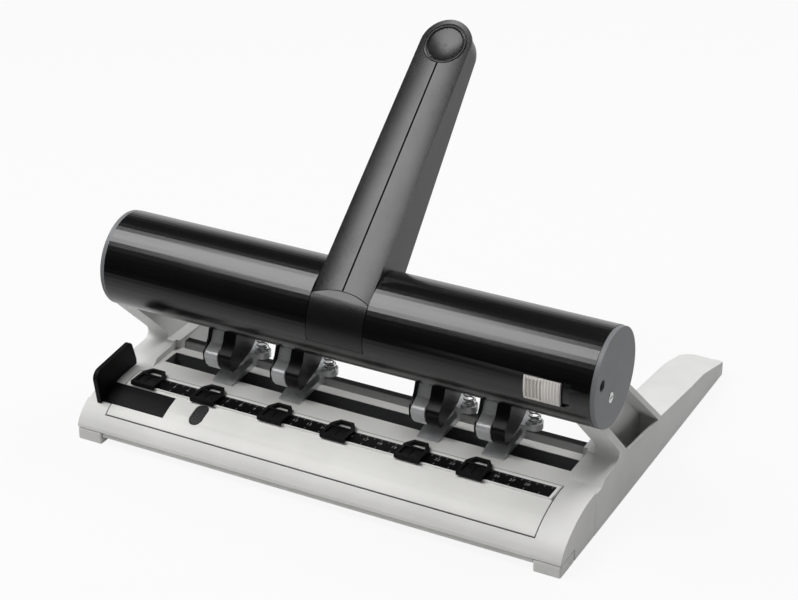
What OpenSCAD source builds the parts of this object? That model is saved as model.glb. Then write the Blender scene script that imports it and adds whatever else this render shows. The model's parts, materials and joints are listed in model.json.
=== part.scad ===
// Heavy desk punch with four sliding punch units, worked by one press lever.
// X runs along the width, Y to the rear and Z up. Millimetres.
// Outlines are drawn from the front edge of the base (depth) and the table (height).

/* [Base] */
// Width of the base
base_w = 340; // [330:1:360]
// Depth of the base
base_d = 275; // [268:1:300]
// Height of the deck above the table
deck_h = 31.7; // [31.2:0.1:33]
// Height of the lower edge of the front lip
lip_h = 9; // [8.8:0.1:10]
// Depth of the rounded front
lip_run = 43; // [40:0.5:46]
// Roundness of the front, where 2 is an ellipse
lip_power = 1.75; // [1.6:0.05:2]
// Depth of the front housing
housing_d = 50; // [49:0.5:52]
// Wall of the front housing
housing_wall = 2.5; // [2:0.1:3]
// Thickness of the front cover
cover_t = 2.8; // [2.4:0.1:3.2]
// Width of a corner foot
foot_w = 18; // [14:1:20]
// Depth of a corner foot
foot_d = 20; // [16:1:24]
// Thickness of a rear foot pad
pad_t = 0.8; // [0.6:0.1:1.2]

/* [Side frames] */
// Width of a side frame beside the floor
frame_w = 21; // [20:0.5:23]
// Width of a side frame at the chip channel
arm_w = 24; // [23:0.5:25]
// Width of a rear arm behind its pillar
wide_arm_w = 28.5; // [27:0.5:30]
// Width of a pillar above the deck
pillar_w = 15.5; // [14:0.5:17]
// Thickness of the inner web of a pillar
web_t = 3; // [2.5:0.1:4]
// Thickness of the two slanted pillar walls
pillar_wall = 5; // [4:0.5:6]
// Radius of the inner rear corner of an arm
arm_r = 15; // [8:1:18]

/* [Floor and rail] */
// Height of the floor under the dies
floor_z = 30; // [29.5:0.1:30.5]
// Thickness of the floor
floor_t = 2.5; // [2:0.1:3.5]
// Width of the chip channel
channel_w = 14; // [12:0.5:15]
// Depth of the guide rail
rail_d = 6; // [5:0.5:7]
// Height of the guide rail
rail_h = 8; // [7:0.5:9]

/* [Cross tube] */
// Diameter of the cross tube
tube_d = 62.7; // [61:0.1:64]
// Distance of the tube axis from the front edge
tube_y = 68; // [66:0.5:70]
// Height of the tube axis
tube_z = 101; // [99:0.5:104]
// Wall of the tube
tube_wall = 2.4; // [2:0.1:2.6]
// Thickness of an end cap
cap_t = 3; // [2:0.5:5]

/* [Lever] */
// Angle of the lever above the table
lever_rise = 40; // [36:1:44]
// Distance of the thumb dish from the tube axis, along the lever
lever_reach = 178; // [150:1:200]
// Width of the lever at the tube
lever_root_w = 39; // [36:0.5:42]
// Width of the lever at its tip
lever_tip_w = 34.8; // [32:0.2:36]
// Thickness of the lever's top shell
lever_shell_t = 2.75; // [2.4:0.05:3.2]
// Stroke of the lever in degrees
lever_stroke = 42; // [38:1:44]
// Diameter of the drive shaft
shaft_d = 10; // [8:0.5:11]

/* [Punch units] */
// Place of the first punch unit's pin (mm)
unit_1_x = -99.5; // [-104:0.5:-94]
// Place of the second punch unit's pin (mm)
unit_2_x = -49.5; // [-54:0.5:-46]
// Place of the third punch unit's pin (mm)
unit_3_x = 50; // [46:0.5:54]
// Place of the fourth punch unit's pin (mm)
unit_4_x = 94.5; // [94:0.5:104]
// Diameter of a punch pin
pin_d = 6; // [5:0.1:6.4]
// Distance of the holes from the edge of the paper
hole_margin = 12; // [10:0.5:13]
// Stroke of the press bar and the pins
pin_stroke = 12; // [11:0.1:12.2]
// Height of the throat that takes the paper
throat_h = 6; // [5:0.1:6.5]
// Coil radius of a return spring, to the wire's centre
coil_r = 3.6; // [3.2:0.1:3.8]
// Wire diameter of a return spring
wire_d = 0.9; // [0.7:0.1:1]
// Curls of a return spring
coil_turns = 10; // [8:1:12]

/* [Ruler, markers and stop] */
// Width of a marker
marker_w = 17.5; // [14:0.5:18]
// Length of the side stop's foot
stop_len = 45.5; // [40:0.5:48]

/* [Hidden] */
$fn = 64;

// Colours
light_grey = "#d2d2cf";
side_grey = "#8e9094";
zinc_grey = "#b4b8bc";
cap_grey = "#70757b";
charcoal = "#3c3e42";
near_black = "#1e2022";

// Clearances
slack = 0.3;      // between pieces that move past each other
seam = 0.2;       // round a panel let into another piece
fit = 0.02;       // round a shaft that is pressed in
run_fit = 0.05;   // round a shaft that turns or slides
bite = 0.1;       // how far one block of a piece enters the next
over = 2;         // how far a cut runs past a face

// Base
half_w = base_w / 2;
ground = pad_t;
lip_steps = 12;
cavity_inset = cover_t + housing_wall;
foot_h = lip_h - 0.4;
tray_half = half_w - foot_w - slack;
cavity_half = half_w - foot_w;
floor_half = half_w - frame_w;
arm_in = half_w - arm_w;

// Front cover, ruler and stop
cover_x = [-152, 150];
cover_y = [6.5, housing_d - 2.5];
ruler_x = [-150, 149];
ruler_y = [housing_d - 18.5, housing_d - 4];
ruler_t = 1.4;
stop_y = [13.7, ruler_y[0] - 2];
stop_t = 1.5;
stop_wall = 3;
stop_out_x = -161.5;
stop_in_x = stop_out_x + stop_wall + stop_len;
window_x = -91;
window_w = 9;
window_y = [14.5, ruler_y[0] - 1];
window_t = 1.6;

// Floor, channel and rail
pin_y = 74;
channel_y = [pin_y - channel_w / 2, pin_y + channel_w / 2];
chute_wall = 2;
chute_z = lip_h + 0.6;
floor_back = 86;
rail_y = 92;
rail_z = floor_z + 3 - rail_h;
rail_half = arm_in + 3.5;
rail_ledge = 3;

// Chip tray
tray_t = 1.2;
tray_z = 2.2;
tray_top = lip_h - slack;
tray_back = 84.5;
tray_front = 1.2;
tray_body_half = floor_half - 0.5;
runner_w = 5;

// Cross tube
tube_r = tube_d / 2;
tube_in_r = tube_r - tube_wall;
tube_half = half_w - 2.1;
opening_half = 145;
opening_y = [61, 91];
cap_r = tube_r - slack;
cap_hole = [-19.8, 4.4];
cap_screw = [-5, -10.9];
guide_rib_t = 2;
guide_rib_len = 18;

// Lever and its slot
slot_half = lever_root_w / 2 + 0.4;
slot_angles = [-16, 194];
hub_r = tube_in_r - 0.35;
hub_half = lever_root_w / 2 - 0.5;
hub_wall = 3;
hub_angles = [-5, 188];
face_n = tube_r;
core_n = face_n - lever_shell_t;
core_in = 1.2;
crown = 0.85;
groove_w = 1.2;
groove_t = 0.8;
dish_r = 14.4;
dish_t = 4.5;
bowl_floor = 0.9;
back_start = [25, -4.6];
back_end = [178, 13.6];

// Badge plate, whose top edge is the arch that a ball cuts from it
badge_half = slot_half - 0.5;
badge_t = 1.5;
arch_top = 51;
arch_side = 42;
badge_low = slot_angles[0];
arch_off = badge_half * badge_half
    / (2 * tube_r * (cos(arch_side - badge_low) - cos(arch_top - badge_low)));
arch_r = sqrt(tube_r * tube_r + arch_off * arch_off
    - 2 * tube_r * arch_off * cos(arch_top - badge_low));

// Lock slider
lock_x = [126.5, 149.7];
lock_angles = [-17, 11];
lock_floor = 1.45;
lock_proud = 1;
lock_travel = 5;

// Drive shaft, bearings, cams and press bar
shaft_r = shaft_d / 2;
boss_r = shaft_r + 4;
bearing_x = [22, 26];
cam_x = [28, 37];
cam_tip_r = 4;
cam_arm = pin_stroke / (2 * sin(lever_stroke / 2));
cam_finger = 4.2;
bar_y = [66, 80];
bar_z = [81, 87];
tongue_y = [66, 72];
tongue_t = 2.2;
tongue_half = 160;
bar_half = 144;
ear_y = [80, 88];
ear_top = tube_z + cam_arm * sin(lever_stroke / 2) - cam_tip_r - slack;

// Punch units, measured from the pin's axis
unit_left = -4.5;
unit_right = 10.5;
die_z = floor_z + 4;
arm_z = die_z + throat_h;
throat_back = pin_y + hole_margin;
frame_front = 59;
guide_y = [66, 82];
guide_half = 4.5;
guide_top = 64.2;
pin_r = pin_d / 2;
head_t = 4;
head_z = bar_z[0] - slack - head_t;
pin_tip = arm_z + 1;
spring_x = 19.5;
spring_y = 84;
cup_r = 5.4;
cup_floor = 46;
cup_z = [43, 53];
post_r = 1.8;
post_top = 61;
strap_x = [-6.5, 3.1];
jaw_x = [3.4, 12.6];
jaw_edge = [[57.5, 41.8], [62, 41.6], [81, 47], [88, 52.5], [92, 55.5]];
shield_t = 1.4;
shield_x = strap_x[0] - slack - shield_t;
jaw_gap = 0.6;
pressed_bar_z = bar_z[0] - pin_stroke - slack;
pressed_head_z = head_z - pin_stroke - slack;
head_r = 4.6;
coil_rings = 8;
coil_sides = 6;

// Positions of the four pins and the six markers
pin_xs = [unit_1_x, unit_2_x, unit_3_x, unit_4_x];
marker_t = 2.2;
marker_bar = 2.2;
marker_xs = [-138.5, -93.5, -43.6, 1.7, 53.6, 95.7];

// ---- shared shapes ----

// Colours a piece and moves it so that the origin is under the middle of the base
module piece(c) color(c) translate([0, -base_d / 2, 0]) children();

// Extrudes a (depth, height) outline along the width
module bar_x(x0, x1) translate([x0, 0, 0]) rotate([90, 0, 90]) linear_extrude(x1 - x0) children();

// A box from its two corners along each axis
module block(x, y, z) translate([x[0], y[0], z[0]]) cube([x[1] - x[0], y[1] - y[0], z[1] - z[0]]);

// A round bar along the width
module rod_x(x0, x1, r, at) translate([x0, at[0], at[1]]) rotate([0, 90, 0]) cylinder(r = r, h = x1 - x0);

// Points of an arc in an outline
function arc(c, r, a0, a1, n) = [for (i = [0 : n]) c + r * [cos(a0 + (a1 - a0) * i / n),
    sin(a0 + (a1 - a0) * i / n)]];

// A point round the tube, by its angle above the front
function round_tube(r, a) = [tube_y - r * cos(a), tube_z + r * sin(a)];

// A pie slice round the tube axis
module pie(a0, a1, r) {
    steps = ceil((a1 - a0) / 20);
    reach = r / cos((a1 - a0) / steps / 2);
    polygon(concat([[tube_y, tube_z]],
        [for (i = [0 : steps]) round_tube(reach, a0 + (a1 - a0) * i / steps)]));
}

// Part of a ring round the tube axis
module ring_part(r0, r1, a0, a1) intersection() {
    difference() {
        translate([tube_y, tube_z]) circle(r1);
        translate([tube_y, tube_z]) circle(r0);
    }
    pie(a0, a1, r1 + over);
}

// The rounded front, set in by a distance all round
function lip_point(t, inset) = [
    lip_run - (lip_run - inset) * pow(cos(t), 2 / lip_power),
    lip_h + (deck_h - lip_h - inset) * pow(sin(t), 2 / lip_power)];
function lip_z(y) = lip_h + (deck_h - lip_h)
    * pow(1 - pow(max(0, 1 - y / lip_run), lip_power), 1 / lip_power);
module lip_outline(inset, low, back) polygon(concat(
    [for (i = [0 : lip_steps]) lip_point(90 * i / lip_steps, inset)],
    [[back, deck_h - inset], [back, low], [inset, low]]));

// The band between two insets of the rounded front
module skin(top, under, y) intersection() {
    difference() {
        lip_outline(top, 0, housing_d + over);
        lip_outline(under, -over, housing_d + 2 * over);
    }
    translate([y[0], 0]) square([y[1] - y[0], deck_h + 2 * over]);
}

// Puts a shape that is drawn along the lever in its place: Y along it, Z out of its face
module on_lever() translate([0, tube_y, tube_z]) rotate([lever_rise, 0, 0]) children();

// ---- base ----

module front_housing() piece(light_grey) difference() {
    union() {
        bar_x(-half_w, half_w) lip_outline(0, lip_h, housing_d);
        for (side = [-1, 1]) housing_skirt(side);
    }
    bar_x(-cavity_half, cavity_half) lip_outline(cavity_inset, -over, housing_d + over);
    bar_x(cover_x[0] - seam, cover_x[1] + seam)
        skin(-over, cover_t, [cover_y[0] - seam, cover_y[1] + seam]);
    stop_recess();
}

// Side wall of the front housing behind a corner foot, with the runner of the tray
module housing_skirt(side) {
    wall_x = side > 0 ? [cavity_half, half_w] : [-half_w, -cavity_half];
    runner_x = side > 0 ? [floor_half - runner_w, cavity_half + bite]
        : [-cavity_half - bite, runner_w - floor_half];
    block(wall_x, [foot_d + 2 * seam, housing_d], [ground, lip_h + bite]);
    block(runner_x, [foot_d + 2 * seam, housing_d], [ground, tray_z - slack]);
}

// The groove that the foot of the side stop slides in
module stop_recess() bar_x(-half_w - over, stop_in_x + slack)
    skin(-over, stop_t + slack, [stop_y[0] - slack, stop_y[1] + slack]);

module front_cover() piece(light_grey) difference() {
    bar_x(cover_x[0], cover_x[1]) skin(0, cover_t, cover_y);
    stop_recess();
    block([ruler_x[0] - seam, ruler_x[1] + seam], [ruler_y[0] - seam, ruler_y[1] + seam],
        [deck_h - ruler_t, deck_h + over]);
    intersection() {
        window_prism(seam);
        bar_x(window_x - window_w, window_x + window_w) skin(-over, window_t, window_y + [-1, 1]);
    }
}

module window_prism(grow) {
    r = window_w / 2;
    translate([window_x, window_y[0] + r, 0]) linear_extrude(deck_h + over) {
        circle(r + grow);
        translate([0, window_y[1] - window_y[0] - window_w]) circle(r + grow);
        translate([-r - grow, 0]) square([window_w + 2 * grow, window_y[1] - window_y[0] - window_w]);
    }
}

module window_insert() piece(near_black) intersection() {
    window_prism(0);
    bar_x(window_x - window_w, window_x + window_w) skin(0.2, window_t, window_y + [-1, 1]);
}

module ruler() piece(near_black)
    block(ruler_x, ruler_y, [deck_h - ruler_t, deck_h]);

module front_feet() piece(light_grey)
    for (x = [-half_w, half_w - foot_w]) block([x, x + foot_w], [0, foot_d], [0, foot_h]);

module base_floor() piece(light_grey) {
    bar_x(-floor_half, floor_half) {
        floor_plate([housing_d, channel_y[0]]);
        floor_plate([channel_y[1], floor_back]);
        chute([channel_y[0] - chute_wall, channel_y[0]]);
        chute([channel_y[1], channel_y[1] + chute_wall]);
    }
    for (side = [-1, 1]) {
        x = side > 0 ? [arm_in, floor_half] : [-floor_half, -arm_in];
        block(x, [channel_y[0] - bite, channel_y[1] + bite], [chute_z, floor_z]);
    }
    bar_x(-arm_in, arm_in) {
        translate([floor_back - bite, rail_z - rail_ledge])
            square([floor_t, floor_z - rail_z + rail_ledge]);
        translate([floor_back - bite, rail_z - rail_ledge])
            square([rail_y + rail_d + 0.5 - floor_back + bite, rail_ledge]);
    }
}

module floor_plate(y) translate([y[0], floor_z - floor_t]) square([y[1] - y[0], floor_t]);

module chute(y) translate([y[0], chute_z]) square([y[1] - y[0], floor_z - chute_z]);

module guide_rail() piece(near_black) bar_x(-rail_half, rail_half) polygon([
    [rail_y, rail_z], [rail_y, rail_z + rail_h - 2.4], [rail_y + 1.6, rail_z + rail_h],
    [rail_y + rail_d, rail_z + rail_h], [rail_y + rail_d, rail_z]]);

// ---- side frames ----

// The pillar's front edges run at 45 degrees, where depth plus height is constant
front_edge = 126;
front_inner = front_edge + pillar_wall * sqrt(2);
shelf_z = 34.5;
nook_r = 5;
nook = [front_edge - shelf_z - nook_r - nook_r * sqrt(2), shelf_z + nook_r];
arm_line = [[154.5, 29.6], [202, 23.6], [233, 20.4], [255, 14.8], [base_d - 2, 10], [base_d, 5]];
pocket_low = 14;
front_top = [front_edge - 80, 80];
pillar_top = 86;
rear_top = [91.6, pillar_top];
strut_d = 5.2;
pillar_in = half_w - pillar_w;
shoulder_z = shelf_z + 2;
wide_in = half_w - wide_arm_w;
flare_y = [138, 150];
// The two lips of each cradle, which hold the tube from the front
lip_x = [[pillar_in - 4.5, pillar_in + 3], [half_w - 5.5, half_w]];
lip_t = 2.8;
lip_a = [-140, -104];
rim_t = 2;

module side_outline() polygon(concat(
    [[housing_d, ground], [housing_d, deck_h - 1.5], [58, deck_h - 1.5], [63, shelf_z - 1]],
    arc(nook, nook_r, -90, 45, 6),
    [front_top, rear_top],
    arm_line, [[base_d, ground]]));

module pocket_outline(low) polygon([
    [front_inner - pillar_top, pillar_top], rear_top - [strut_d, 0],
    arm_line[0] - [strut_d, 0], [arm_line[0][0] - strut_d, min(low, arm_line[0][1] - 1)],
    [front_inner - shelf_z, min(low, shelf_z)], [front_inner - shelf_z, shelf_z]]);

module side_frame() difference() {
    union() {
        frame_body();
        for (x = lip_x) bar_x(x[0], x[1]) ring_part(tube_r - bite, tube_r + lip_t, lip_a[0], lip_a[1]);
    }
    rod_x(arm_in, half_w + over, tube_r, [tube_y, tube_z]);
    bar_x(pillar_in + web_t, half_w - rim_t) pocket_outline(pocket_low);
    bar_x(half_w - rim_t - bite, half_w + over) pocket_outline(shelf_z);
    bar_x(wide_in + web_t, half_w - web_t) polygon([[162, -over], [162, 24.5], [202, 20],
        [232, 17], [246, 13.4], [246, -over]]);
    arm_round(wide_in, 1, arm_r);
    arm_round(half_w, -1, 4);
    block([arm_in - over, rail_half + bite], [rail_y - seam, rail_y + rail_d + seam],
        [rail_z - seam, rail_z + rail_h + seam]);
}

module frame_body() difference() {
    union() {
        bar_x(floor_half, half_w) side_outline();
        bar_x(arm_in, floor_half + bite) intersection() {
            side_outline();
            translate([floor_back, 0]) square([base_d, tube_z]);
        }
        intersection() {
            bar_x(wide_in, arm_in + bite) side_outline();
            linear_extrude(tube_z) polygon([[arm_in + bite, flare_y[0]], [wide_in, flare_y[1]],
                [wide_in, base_d], [arm_in + bite, base_d]]);
        }
        block([floor_half - runner_w, floor_half + bite], [housing_d, tray_back + 0.5],
            [ground, tray_z - slack]);
    }
    block([wide_in - over, pillar_in], [0, base_d], [shoulder_z, tube_z + tube_r]);
}

// Rounds one rear corner of an arm, seen from above
module arm_round(x, toward, r) difference() {
    translate([x - over / 2 + toward * r / 2 - r / 2, base_d - r, -over])
        cube([r + over, r + over, deck_h + 2 * over]);
    translate([x + toward * r, base_d - r, -2 * over]) cylinder(r = r, h = deck_h + 4 * over);
}

module right_side_frame() piece(side_grey) side_frame();

module left_side_frame() piece(side_grey) mirror([1, 0, 0]) side_frame();

module rear_feet() piece(near_black)
    for (x = [-1, 1]) translate([x * (half_w - 10), base_d - 18, 0]) cylinder(r = 7, h = pad_t);

// ---- chip tray ----

module chip_tray() piece(light_grey) difference() {
    union() {
        block([-tray_body_half, tray_body_half], [12, tray_back], [tray_z, tray_top]);
        bar_x(-tray_body_half, tray_body_half) polygon([[tray_front + 1, lip_h - 3.6], [12, tray_z],
            [12 + bite, tray_z], [12 + bite, tray_top], [tray_front + 1, tray_top]]);
        block([-tray_half, tray_half], [tray_front, tray_front + 1.6], [lip_h - 3.8, tray_top]);
    }
    bar_x(tray_t - tray_body_half, tray_body_half - tray_t) polygon([
        [tray_front + 2.8, lip_h - 2.4], [12, tray_z + tray_t], [tray_back - tray_t, tray_z + tray_t],
        [tray_back - tray_t, tray_top + over], [tray_front + 2.8, tray_top + over]]);
}

// ---- cross tube ----

module tube_shell() piece(near_black) difference() {
    rod_x(-tube_half, tube_half, tube_r, [tube_y, tube_z]);
    rod_x(-tube_half - over, tube_half + over, tube_in_r, [tube_y, tube_z]);
    bar_x(-slot_half, slot_half) pie(slot_angles[0], slot_angles[1], tube_r + over);
    block([-opening_half, opening_half], opening_y, [tube_z - tube_r - over, tube_z - 17]);
    bar_x(lock_x[0] - 0.5, lock_x[1] + lock_travel + 0.5)
        ring_part(tube_r - lock_floor, tube_r + over, lock_angles[0] - 1, lock_angles[1] + 1);
}

// One end cap, with its spigot and the two ribs that guide the end of the press bar
module end_cap() difference() {
    union() {
        rod_x(tube_half, tube_half + cap_t, cap_r, [tube_y, tube_z]);
        difference() {
            rod_x(tube_half - 6, tube_half + bite, tube_in_r - fit, [tube_y, tube_z]);
            rod_x(tube_half - 6 - over, tube_half, tube_in_r - 2, [tube_y, tube_z]);
        }
        for (y = [tongue_y[0] - slack - guide_rib_t, tongue_y[1] + slack])
            block([tube_half - guide_rib_len, tube_half + bite], [y, y + guide_rib_t],
                [tube_z - tube_in_r + 1.5, tube_z - 9]);
    }
    rod_x(tube_half - over, tube_half + cap_t + over, 3.6, [tube_y + cap_hole[0], tube_z + cap_hole[1]]);
    rod_x(tube_half + cap_t - 1.5, tube_half + cap_t + over, 3.4 + seam,
        [tube_y + cap_screw[0], tube_z + cap_screw[1]]);
    rod_x(tube_half - over, tube_half + cap_t, 1.5 + fit,
        [tube_y + cap_screw[0], tube_z + cap_screw[1]]);
}

module right_end_cap() piece(cap_grey) end_cap();

module left_end_cap() piece(cap_grey) mirror([1, 0, 0]) end_cap();

module cap_screws() piece("silver") for (side = [0, 1]) mirror([side, 0, 0]) {
    at = [tube_y + cap_screw[0], tube_z + cap_screw[1]];
    difference() {
        rod_x(tube_half + cap_t - 1.5, tube_half + cap_t + 0.2, 3.4, at);
        block([tube_half + cap_t - 0.6, tube_half + cap_t + over], [at[0] - 2.6, at[0] + 2.6],
            [at[1] - 0.4, at[1] + 0.4]);
    }
    rod_x(tube_half - 1, tube_half + cap_t - 1.5 + bite, 1.5, at);
}

module badge_plate() piece(charcoal) intersection() {
    bar_x(-badge_half, badge_half)
        ring_part(tube_r - badge_t, tube_r, badge_low + 0.6, arch_top + 5);
    arch_ball(0);
}

// The ball that cuts the arch between the badge plate and the lever
module arch_ball(grow) {
    c = round_tube(arch_off, badge_low);
    translate([0, c[0], c[1]]) sphere(r = arch_r + grow, $fn = 128);
}

module lock_slider() piece("#cfcbc6") difference() {
    bar_x(lock_x[0], lock_x[1])
        ring_part(tube_r - lock_floor + slack, tube_r + lock_proud, lock_angles[0], lock_angles[1]);
    for (i = [0 : 4]) bar_x(lock_x[0] + 1.6 + 2.2 * i, lock_x[0] + 2.8 + 2.2 * i)
        ring_part(tube_r + 0.2, tube_r + over, lock_angles[0] + 3, lock_angles[1] - 3);
}

// Bulkhead inside the tube that carries the drive shaft
module bearing() difference() {
    union() {
        intersection() {
            rod_x(bearing_x[0], bearing_x[1], tube_in_r - fit, [tube_y, tube_z]);
            block([0, half_w], [0, base_d], [tube_z - boss_r, base_d]);
        }
        rod_x(bearing_x[0], bearing_x[1] + 1, boss_r, [tube_y, tube_z]);
    }
    rod_x(0, half_w, shaft_r + run_fit, [tube_y, tube_z]);
}

module right_bearing() piece(zinc_grey) bearing();

module left_bearing() piece(zinc_grey) mirror([1, 0, 0]) bearing();

// ---- lever ----

// The lever seen square to its face, from its root to its round tip
module lever_plan(inset) {
    root = lever_root_w / 2 - inset;
    tip = lever_tip_w / 2 - inset;
    polygon([[-root, -6], [root, -6], [tip, lever_reach], [-tip, lever_reach]]);
    translate([0, lever_reach]) circle(tip);
}

module lever_shell() piece(charcoal) difference() {
    on_lever() difference() {
        translate([0, 0, core_n]) linear_extrude(lever_shell_t) lever_plan(0);
        for (side = [0, 1]) mirror([side, 0, 0]) translate([0, -20, face_n])
            rotate([0, atan(crown / (lever_root_w / 2)), 0])
                cube([lever_root_w, lever_reach + 60, over * 2]);
        translate([-groove_w / 2, -8, face_n - groove_t]) cube([groove_w, lever_reach + 8 - dish_r, over]);
        translate([0, lever_reach, face_n - dish_t]) cylinder(r = dish_r, h = dish_t + over);
    }
    arch_ball(0.4);
}

module lever_core() piece(near_black) difference() {
    on_lever() difference() {
        intersection() {
            bar_x(-lever_root_w, lever_root_w) polygon([[4, core_n], [lever_reach + lever_tip_w, core_n],
                [lever_reach + lever_tip_w / 2, core_n - 1.6], [lever_reach + 14.5, 21.5],
                [lever_reach + 8.5, 16.3], back_end, back_start, [4, 0]]);
            translate([0, 0, -face_n]) linear_extrude(3 * face_n) lever_plan(core_in);
        }
        translate([0, lever_reach, face_n - dish_t]) cylinder(r = dish_r, h = dish_t + over);
    }
    rod_x(-lever_root_w, lever_root_w, hub_r, [tube_y, tube_z]);
}

// Bowl for the thumb, with two fine rings round its rim
module thumb_pad() piece(near_black) on_lever()
    translate([0, lever_reach, face_n - dish_t]) rotate_extrude() polygon(concat(
        [[0, 0], [dish_r - seam, 0], [dish_r - seam, dish_t - 0.1], [dish_r - 0.6, dish_t + 0.1],
            [dish_r - 1.1, dish_t - 0.4], [dish_r - 1.5, dish_t - 0.4], [dish_r - 2, dish_t]],
        [for (t = [1 : -0.125 : 0])
            [(dish_r - 2.6) * t, bowl_floor + (dish_t - 0.5 - bowl_floor) * t * t]]));

module lever_hub() piece(near_black) difference() {
    bar_x(-hub_half, hub_half) {
        intersection() {
            translate([tube_y, tube_z]) circle(hub_r);
            pie(hub_angles[0], hub_angles[1], hub_r + over);
        }
        translate([tube_y, tube_z]) circle(boss_r + 1);
    }
    bar_x(hub_wall - hub_half, hub_half - hub_wall) translate([tube_y, tube_z]) difference() {
        circle(hub_r - hub_wall);
        circle(boss_r + 1);
    }
    rod_x(-half_w, half_w, shaft_r + fit, [tube_y, tube_z]);
}

module drive_shaft() piece("silver")
    rod_x(-cam_x[1] - 1, cam_x[1] + 1, shaft_r, [tube_y, tube_z]);

// Finger on the drive shaft that presses the bar down
module cam() bar_x(cam_x[0], cam_x[1]) translate([tube_y, tube_z]) difference() {
    union() {
        circle(boss_r);
        rotate(lever_stroke / 2) translate([0, -cam_finger / 2]) square([cam_arm, cam_finger]);
        rotate(lever_stroke / 2) translate([cam_arm, 0]) circle(cam_tip_r);
    }
    circle(shaft_r + fit);
}

module right_cam() piece("silver") cam();

module left_cam() piece("silver") mirror([1, 0, 0]) cam();

module press_bar() piece("silver") {
    block([-bar_half, bar_half], bar_y, bar_z);
    block([-tongue_half, tongue_half], tongue_y, [bar_z[1] - tongue_t, bar_z[1]]);
    for (side = [0, 1]) mirror([side, 0, 0]) {
        block(cam_x, [bar_y[1] - bite, ear_y[1]], bar_z);
        block(cam_x, [ear_y[0] + 1, ear_y[1]], [bar_z[0], ear_top]);
    }
}

// ---- punch units ----

// Side view of the C-frame: lower jaw with its ramp, throat, saddle over the rail and upper arm
module c_outline() polygon(concat(
    [[frame_front, floor_z + slack], [frame_front, floor_z + 0.9], [70, die_z]],
    [[throat_back - 1.5, die_z], [throat_back, die_z + 1.5], [throat_back, arm_z - 1.5],
        [throat_back - 1.5, arm_z]],
    [[62, arm_z]],
    [for (i = [1 : 4]) jaw_edge[i]], [[98, 53], [101, 49]],
    [[101, rail_z + 2], [rail_y + rail_d + slack, rail_z + 2]],
    [[rail_y + rail_d + slack, rail_z + rail_h + slack], [rail_y - slack, rail_z + rail_h + slack]],
    [[rail_y - slack, floor_z + slack]]));

module die_frame(x) piece(zinc_grey) translate([x, 0, 0]) difference() {
    union() {
        bar_x(unit_left, unit_right) c_outline();
        block([-guide_half, guide_half], guide_y, [arm_z + 1, guide_top]);
        block([-guide_half, strap_x[1]], [62, guide_y[0] + bite], [arm_z, 44]);
        block([unit_right - bite, spring_x], [spring_y - cup_r, spring_y + cup_r], [cup_z[0], cup_floor]);
        translate([spring_x, spring_y, cup_z[0]]) cylinder(r = cup_r, h = cup_z[1] - cup_z[0]);
    }
    translate([0, pin_y, 0]) cylinder(r = pin_r + run_fit, h = base_d);
    translate([spring_x, spring_y, cup_floor]) difference() {
        cylinder(r = cup_r - 1, h = cup_z[1]);
        cylinder(r = post_r, h = post_top - cup_floor);
    }
}

// Bent guard in front of the guide block
module strap(x) piece(zinc_grey) bar_x(x + strap_x[0], x + strap_x[1]) polygon(concat(
    [[66, 65], [62.5, 57.8]], arc([58.4, 50.6], 4.4, 105, 185, 6), [[55.8, 44.5], [59, 40.8], [62, 40.4]],
    [[62, 43.2], [60.3, 43.6], [58.4, 45.8]], arc([58.4, 50.6], 1.9, 185, 105, 6), [[64, 55.8], [66, 60]]));

// Side cover of the guide block, with a thin shield on the strap's other side
module jaw(x) piece(near_black) translate([x, 0, 0]) difference() {
    union() {
        bar_x(jaw_x[0], jaw_x[1]) jaw_outline();
        bar_x(shield_x, shield_x + shield_t) jaw_outline();
        block([shield_x, guide_half + 1], [guide_y[1] + 0.6, guide_y[1] + 4.4], [54, pressed_head_z]);
    }
    block([jaw_x[0] - over, guide_half + slack], [guide_y[0] - slack, guide_y[1] + slack], [0, base_d]);
    rod_x(-half_w, half_w, tube_r + jaw_gap, [tube_y, tube_z]);
}

module jaw_outline() polygon(concat(jaw_edge,
    [[92, pressed_head_z], [72.4, pressed_head_z], [72.4, pressed_bar_z], [64.5, pressed_bar_z],
        [61.5, 60]], arc([59.6, 51], 4.4, 120, 190, 5), [[55.4, 46]]));

module punch_pin(x) piece("silver") translate([x, 0, 0]) difference() {
    union() {
        translate([0, pin_y, pin_tip]) cylinder(r = pin_r, h = head_z + bite - pin_tip);
        translate([0, pin_y, head_z]) linear_extrude(head_t) {
            reach = [spring_x, spring_y - pin_y];
            circle(head_r);
            translate(reach) circle(coil_r + 1);
            rotate(atan2(reach[1], reach[0])) translate([0, -3]) square([norm(reach), 6]);
        }
    }
    translate([-5, pin_y, pin_tip - 3]) rotate([0, 90, 0]) cylinder(r = 4.4, h = 10);
}

// Centre line of a coil, with a straight end at each seat
coil_low = cup_floor + slack;
coil_high = head_z - slack;
coil_rise = (coil_high - coil_low - 2 * wire_d) / coil_turns;
coil_steps = coil_turns * coil_rings;
coil_points = [for (i = [0 : coil_steps]) [coil_r * cos(360 * i / coil_rings),
    coil_r * sin(360 * i / coil_rings), coil_low + wire_d + coil_rise * i / coil_rings]];

// One ring of the wire, tilted from lying across the wire's run to lying flat at a seat
function wire_ring(p, turn, tilt) = [for (k = [0 : coil_sides - 1])
    let (out = wire_d / 2 * cos(360 * k / coil_sides), up = wire_d / 2 * sin(360 * k / coil_sides))
    p + out * [cos(turn), sin(turn), 0]
        + up * [sin(turn) * sin(tilt), -cos(turn) * sin(tilt), cos(tilt)]];

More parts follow.
